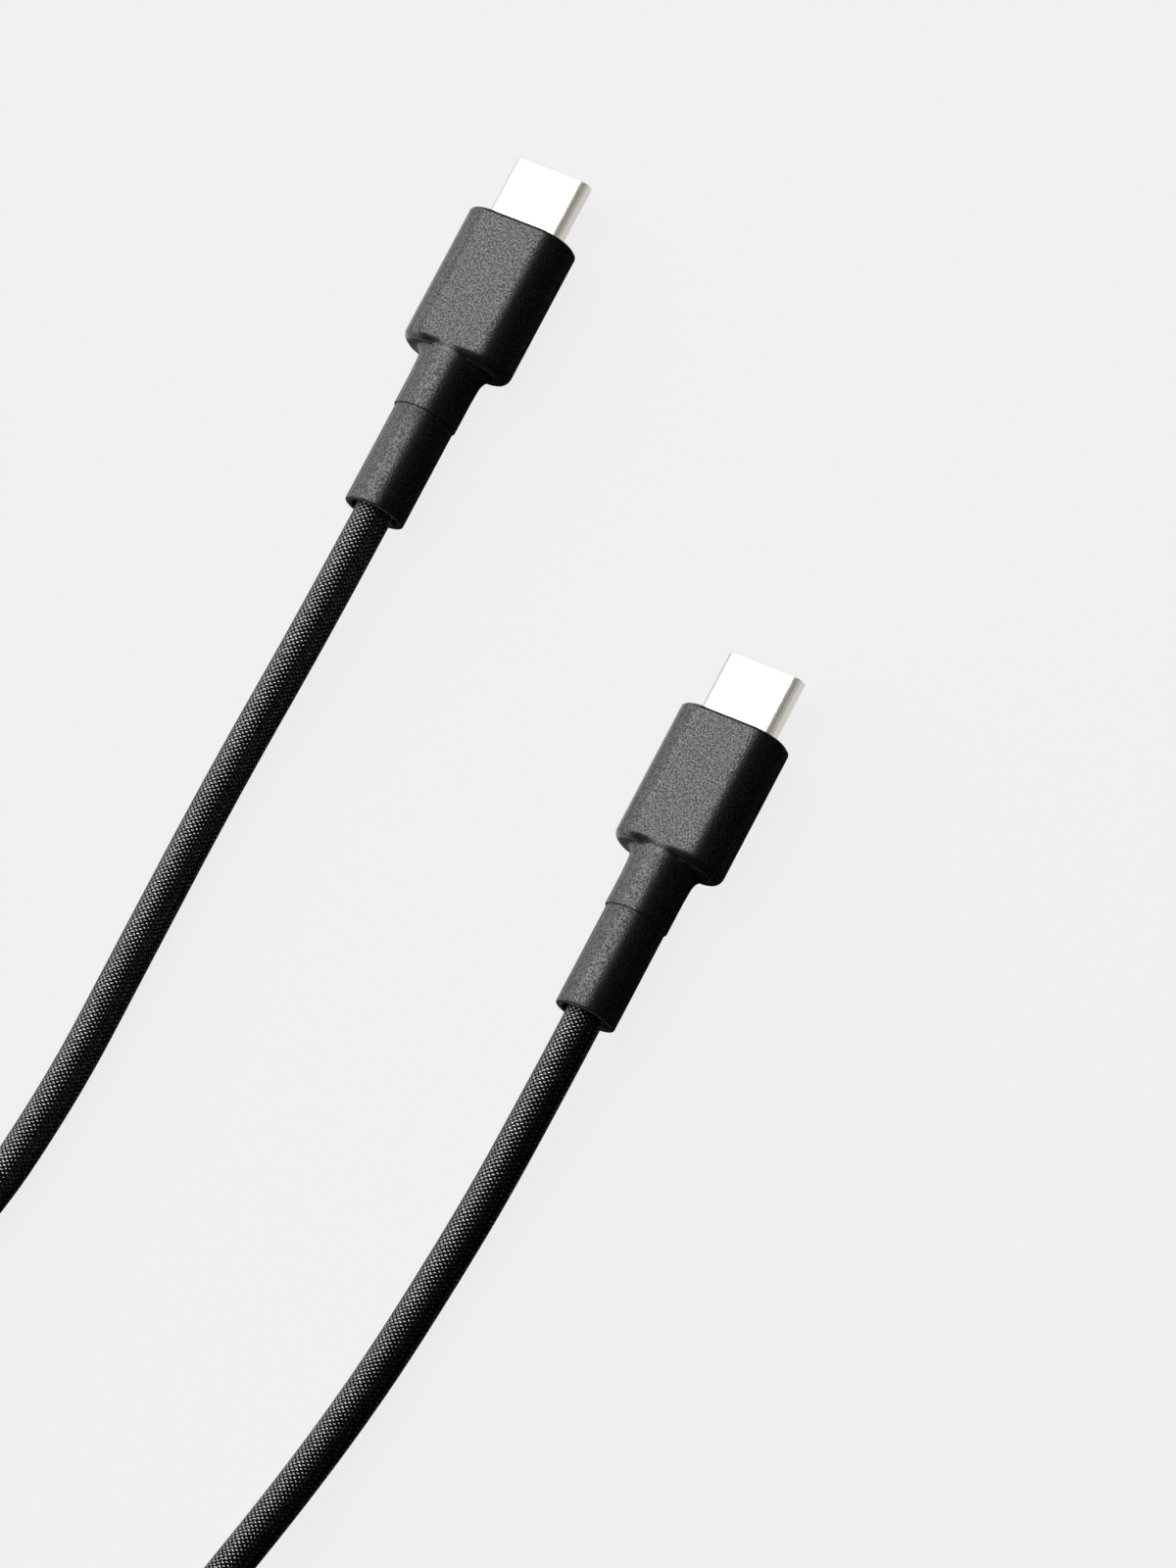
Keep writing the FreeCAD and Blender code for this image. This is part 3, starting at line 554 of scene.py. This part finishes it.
def make_body(side, place):
    """The outer moulding: rounded-oblong body, two rounded shoulders, and a round neck between them."""
    low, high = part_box(f"plug_{side}_outer_moulding")
    width, height, neck_rear = high.x - low.x, high.z - low.z, low.y - place.y
    shell_low, shell_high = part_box(f"plug_{side}_metal_shell")
    inner_low, inner_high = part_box(f"plug_{side}_inner_moulding")
    inner_front, inner_rear = inner_high.y - place.y, inner_low.y - place.y
    inner = (inner_high.x - inner_low.x, inner_high.z - inner_low.z, INNER_CORNER)
    shell_width, shell_height = shell_high.x - shell_low.x, shell_high.z - shell_low.z
    rear = -BODY_LENGTH - BODY_REAR_BULGE
    start = -BODY_LENGTH + BODY_REAR_ROUND

    def oblong(y, width, height, corner):
        """A loop as fine as the body's own, across its flats too."""
        return section(bm, y, width, height, corner, FLAT_STEPS)

    def neck(loop, y, hollow=0.0):
        """Press a loop out to the neck, which comes down from the body's height and stays under it."""
        drop = smooth_step((start - y) / NECK_BLEND)
        # A little under half the body's height, because the soft meeting adds to it
        radius = (height - NECK_MEET / 4) / 2
        swell(loop, radius * (1 - drop) + NECK_D / 2 * drop, hollow)
        for v in {v for edge in loop for v in edge.verts}:
            v.co.z = max(min(v.co.z, height / 2), -height / 2)
        return loop

    def core(y):
        """A loop well inside the neck, to be pressed out."""
        return oblong(y, CORE * width, CORE * height, CORE * BODY_CORNER)

    bm = bmesh.new()
    front = oblong(0, width, height, BODY_CORNER)
    loops = [front]
    for sine, cosine in quarter():
        y, inset = start - (start - rear) * sine, BODY_REAR_ROUND * (1 - cosine)
        loops.append(neck(oblong(y, width - 2 * inset, height - 2 * inset, BODY_CORNER - inset), y))
    for sine, cosine in quarter(HOLLOW_STEPS):
        y = rear - SHOULDER_DRAFT - NECK_HOLLOW * (1 - cosine)
        loops.append(neck(core(y), y, NECK_HOLLOW * (1 - sine)))
    for share in NECK_RINGS:
        y = start - NECK_BLEND * share
        loops.append(neck(core(y), y))
    neck_rim = neck(core(neck_rear), neck_rear)
    root = [core(neck_rear), core(inner_rear)]
    for loop in root:
        swell(loop, SLEEVE_ROOT_D / 2)
    loops += [
        neck_rim,
        *root,
        oblong(inner_rear, *inner),
        oblong(inner_front, *inner),
        oblong(inner_front, shell_width, shell_height, shell_height / 2),
        oblong(0, shell_width, shell_height, shell_height / 2),
    ]
    skin(bm, loops)
    round_off(bm, front, BODY_FRONT_ROUND)
    round_off(bm, neck_rim, NECK_REAR_ROUND, SMALL_STEPS)
    move_to_plug(bm, place)
    body = new_piece(bm, f"plug_{side}_moulded_body", "moulding", f"plug_{side}_outer_moulding")
    body.modifiers.new("flat_faces_stay_flat", "WEIGHTED_NORMAL").keep_sharp = True


def make_sleeve(side, place):
    """The strain relief: a root in the neck, a barrel behind it, and a mouth that the cord leaves."""
    low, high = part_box(f"plug_{side}_strain_relief")
    diameter = high.x - low.x
    root, rear = high.y - place.y, low.y - place.y
    front = rear + SLEEVE_LENGTH
    floor = rear + SLEEVE_MOUTH_DEPTH
    bm = bmesh.new()
    barrel_front, barrel_rear = (round_section(bm, y, diameter) for y in (front, rear))
    mouth = round_section(bm, rear, SLEEVE_MOUTH_D)
    bore = CORD_D + CORD_PLAY
    loops = [
        round_section(bm, root, SLEEVE_ROOT_D),
        round_section(bm, front, SLEEVE_ROOT_D),
        barrel_front,
        barrel_rear,
        mouth,
        round_section(bm, floor, SLEEVE_MOUTH_D),
        round_section(bm, floor, bore),
        round_section(bm, root, bore),
    ]
    skin(bm, loops)
    round_off(bm, barrel_front, SLEEVE_FRONT_ROUND, SMALL_STEPS)
    round_off(bm, barrel_rear, SLEEVE_REAR_ROUND)
    round_off(bm, mouth, MOUTH_ROUND, MOUTH_STEPS)
    move_to_plug(bm, place)
    new_piece(bm, f"plug_{side}_moulded_sleeve", "sleeve", f"plug_{side}_strain_relief")


# ---------------------------------------------------------------- cord

def coil_points():
    """Points of the coil's turns: inwards on the floor, up onto them, and outwards again."""
    total = 2 * LAYER_TURNS + CLIMB_TURNS
    step = 1 / POINTS_PER_TURN
    outside = 1 / math.cos(math.pi / POINTS_PER_TURN)      # the spline runs inside its points
    points = []
    for i in range(round(total * POINTS_PER_TURN)):
        turns = (i + 0.5) * step
        angle = COIL_START + 360 * turns
        climb = min(max((turns - LAYER_TURNS) / CLIMB_TURNS, 0), 1)
        wound = (turns - climb * CLIMB_TURNS) / LAYER_TURNS
        radius = COIL_RADIUS + (COIL_INNER_RADIUS - COIL_RADIUS) * (1 - abs(wound - 1))
        radius -= CLIMB_DIP * math.sin(math.pi * climb)
        from_tie = abs((angle - TIE_ANGLE + 180) % 360 - 180)
        over_tie = smooth_step(1 + TIE_CREST - from_tie / (TIE_HUMP / 2))
        height = LOW + CORD_D * smooth_step(climb) + TIE_SHEET * over_tie
        a = math.radians(angle)
        points.append(COIL_CENTRE + Vector((math.cos(a), math.sin(a), 0)) * radius * outside
                      + Vector((0, 0, height)))
    return points


def cord_line():
    """The cord's smooth line from plug to plug, as points read from its spline."""
    route = [Vector(p) for p in ROUTE_A] + coil_points() + [Vector(p) for p in ROUTE_B[::-1]]
    curve = bpy.data.curves.new("cord_line", "CURVE")
    curve.dimensions = "3D"
    spline = curve.splines.new("NURBS")
    spline.points.add(len(route) - 1)
    for point, place in zip(spline.points, route):
        point.co = (*place, 1)
    spline.order_u = 3
    spline.use_endpoint_u = True
    spline.resolution_u = CORD_STEPS
    holder = bpy.data.objects.new("cord_line", curve)
    bpy.context.scene.collection.objects.link(holder)
    bpy.context.view_layer.update()
    mesh = bpy.data.meshes.new_from_object(holder)
    line = [v.co.copy() for v in mesh.vertices]
    bpy.data.objects.remove(holder)
    bpy.data.curves.remove(curve)
    bpy.data.meshes.remove(mesh)
    return line


def make_cord():
    """The braided cord as a tube: a grid whose rows are wrapped round the points of its line."""
    line = cord_line()
    lengths = [0.0]                   # of cord up to each point
    for a, b in zip(line, line[1:]):
        lengths.append(lengths[-1] + (b - a).length)
    bm = bmesh.new()
    uv = bm.loops.layers.uv.new("UVMap")
    rows = len(line) - 1
    bmesh.ops.create_grid(bm, x_segments=CORD_SIDES, y_segments=rows, size=0.5, calc_uvs=True)
    for face in bm.faces:
        for corner in face.loops:
            row = round(corner[uv].uv.y * rows)
            corner[uv].uv = (corner[uv].uv.x * math.pi * CORD_D, lengths[row])
    frames = []
    for i, point in enumerate(line):
        along = (line[min(i + 1, rows)] - line[max(i - 1, 0)]).normalized()
        across = along.cross(Vector((0, 0, 1))).normalized()
        frames.append((point, across, across.cross(along)))
    for v in bm.verts:
        point, across, up = frames[round((v.co.y + 0.5) * rows)]
        angle = (v.co.x + 0.5) * math.tau - math.pi / 2
        v.co = point + (across * math.cos(angle) + up * math.sin(angle)) * CORD_D / 2
    bmesh.ops.remove_doubles(bm, verts=bm.verts[:], dist=SAME_POINT)
    bmesh.ops.holes_fill(bm, edges=[e for e in bm.edges if e.is_boundary], sides=0)
    cord = new_piece(bm, "braided_cord", "cord_braid", "cord_a", "cord_b", "cord_coil")


def make_tie():
    """The strap round the coil: a rounded loop across the turns, as wide as the strap."""
    low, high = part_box("coil_tie")
    across, height = high.y - low.y, high.z - low.z
    corner = CORD_D / 2 + TIE_SHEET
    bm = bmesh.new()
    outer = [section(bm, y, across, height, corner) for y in (-TIE_WIDTH / 2, TIE_WIDTH / 2)]
    inner = [section(bm, y, across - 2 * TIE_SHEET, height - 2 * TIE_SHEET, corner - TIE_SHEET)
             for y in (TIE_WIDTH / 2, -TIE_WIDTH / 2)]
    skin(bm, outer + inner)
    for loop in outer:
        round_off(bm, loop, TIE_ROUND, SMALL_STEPS)
    quarter_turn = Matrix.Rotation(math.pi / 2, 3, "Z")
    bmesh.ops.rotate(bm, verts=bm.verts[:], cent=(0, 0, 0), matrix=quarter_turn)
    bmesh.ops.translate(bm, verts=bm.verts[:], vec=(low + high) / 2)
    new_piece(bm, "coil_strap", "tie_strap", "coil_tie")


# ---------------------------------------------------------------- floor and light

def gather_metal():
    """A collection of all pieces of bright metal."""
    metal = bpy.data.collections.new("bright_metal")
    finished = [finishes[slot] for slot in METAL_SLOTS]
    for piece in bpy.context.scene.objects:
        if piece.type == "MESH" and any(slot.material in finished for slot in piece.material_slots):
            metal.objects.link(piece)
    return metal


def make_floor(metal):
    """A pale floor that looks the same everywhere, keeps a faint shadow and lights only metal."""
    bm = bmesh.new()
    bmesh.ops.create_grid(bm, x_segments=1, y_segments=1, size=PAPER_SIZE)
    mesh = bpy.data.meshes.new("floor")
    bm.to_mesh(mesh)
    bm.free()
    floor = bpy.data.objects.new("floor", mesh)
    bpy.context.scene.collection.objects.link(floor)
    floor.location.z = -PAPER_DROP
    material = bpy.data.materials.new("seamless_paper")
    material.use_nodes = True
    tree = material.node_tree
    tree.nodes.clear()
    # To the camera and in mirrors the sheet has one even colour, and elsewhere it is plain paper
    path = add(tree, "LightPath")
    share = add(tree, "Math", {0: path.outputs["Is Camera Ray"], 1: PAPER_GLOW}, operation="MULTIPLY")
    for ray in ("Is Glossy Ray", "Is Transmission Ray"):
        share = add(tree, "Math", {0: share, 1: path.outputs[ray]}, operation="MAXIMUM")
    paper = add(tree, "BsdfDiffuse", {"Color": linear(PALE)})
    glow = add(tree, "Emission", {"Color": linear(PALE), "Strength": 1.0})
    mixed = add(tree, "MixShader", {0: share, 1: paper, 2: glow})
    add(tree, "OutputMaterial", {"Surface": mixed})
    mesh.materials.append(material)
    floor.light_linking.receiver_collection = metal


def make_panel(name, place, back, size, brightness, receivers=None):
    """A lit panel with its back turned one way; if it has receivers, it lights nothing else."""
    data = bpy.data.lights.new(name, "AREA")
    data.shape = "RECTANGLE"
    data.size, data.size_y = size
    data.energy = brightness * math.pi * size[0] * size[1]
    panel = bpy.data.objects.new(name, data)
    bpy.context.scene.collection.objects.link(panel)
    side = Vector((0, 1, 0)).cross(back).normalized()
    turn = Matrix((side, back.cross(side), back)).transposed()
    panel.matrix_world = Matrix.Translation(place) @ turn.to_4x4()
    panel.visible_camera = False
    if receivers:
        panel.light_linking.receiver_collection = receivers


def make_overhead(name, panel, receivers=None):
    """A panel that faces the cable from above."""
    lean, distance, size, brightness = panel
    direction = Vector((*lean, 1)).normalized()
    make_panel(name, CAMERA_TARGET + direction * distance, direction, size, brightness, receivers)


def make_strip(name, right, width, pieces):
    """A white strip on the floor, for the left edges of some black pieces alone."""
    receivers = bpy.data.collections.new(name)
    for piece in pieces:
        receivers.objects.link(bpy.data.objects[piece])
    rear, front = STRIP_Y
    place = Vector((right - width / 2, (rear + front) / 2, STRIP_HEIGHT))
    make_panel(name, place, Vector((0, 0, -1)), (width, front - rear), STRIP_LEVEL, receivers)


def make_studio():
    """The room: bright on its window side, nearly black elsewhere, and pale to the camera."""
    world = bpy.data.worlds.new("studio")
    bpy.context.scene.world = world
    world.use_nodes = True
    tree = world.node_tree
    tree.nodes.clear()
    side = add(tree, "SeparateXYZ", {0: add(tree, "TexCoord").outputs["Generated"]})
    ends, begins = WINDOW_EDGE
    lit = add(tree, "MapRange", {"Value": side.outputs["X"], "From Min": ends, "From Max": begins,
                                 "To Min": WINDOW_SIDE, "To Max": DARK_SIDE})
    seen = add(tree, "LightPath").outputs["Is Camera Ray"]
    level = add(tree, "Mix", {0: seen, 2: lit, 3: linear(PALE)[0]})
    background = add(tree, "Background", {"Color": (1, 1, 1, 1), "Strength": level})
    add(tree, "OutputWorld", {"Surface": background})


def make_lights(metal):
    """A wide softbox above on the left, cards for the metal, and strips for the black pieces."""
    make_overhead("softbox", SOFTBOX)
    for i, card in enumerate(METAL_CARDS):
        make_overhead(f"metal_card_{i + 1}", card, metal)
    for side in SIDES:
        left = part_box(f"plug_{side}_outer_moulding")[0].x
        blacks = [f"plug_{side}_moulded_body", f"plug_{side}_moulded_sleeve"]
        make_strip(f"strip_{side}", left - STRIP_GAP, STRIP_WIDTH, blacks)
        make_strip(f"cord_strip_{side}", left - CORD_STRIP_GAP, CORD_STRIP_WIDTH[side], ["braided_cord"])
    make_studio()


make_camera()
finishes = make_finishes()
for part in frame["record"]["subparts"]:
    for material_slot in frame["nodes"][part["node"]].material_slots:
        material_slot.material = finishes[part["material_slot"]]
make_tie()
make_cord()
for side in SIDES:
    body_low, body_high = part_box(f"plug_{side}_outer_moulding")
    plug_place = Vector(((body_low.x + body_high.x) / 2, body_high.y, (body_low.z + body_high.z) / 2))
    make_shell(side, plug_place)
    make_body(side, plug_place)
    make_sleeve(side, plug_place)
bright_metal = gather_metal()
make_floor(bright_metal)
make_lights(bright_metal)

bpy.context.scene.view_settings.view_transform = "Standard"
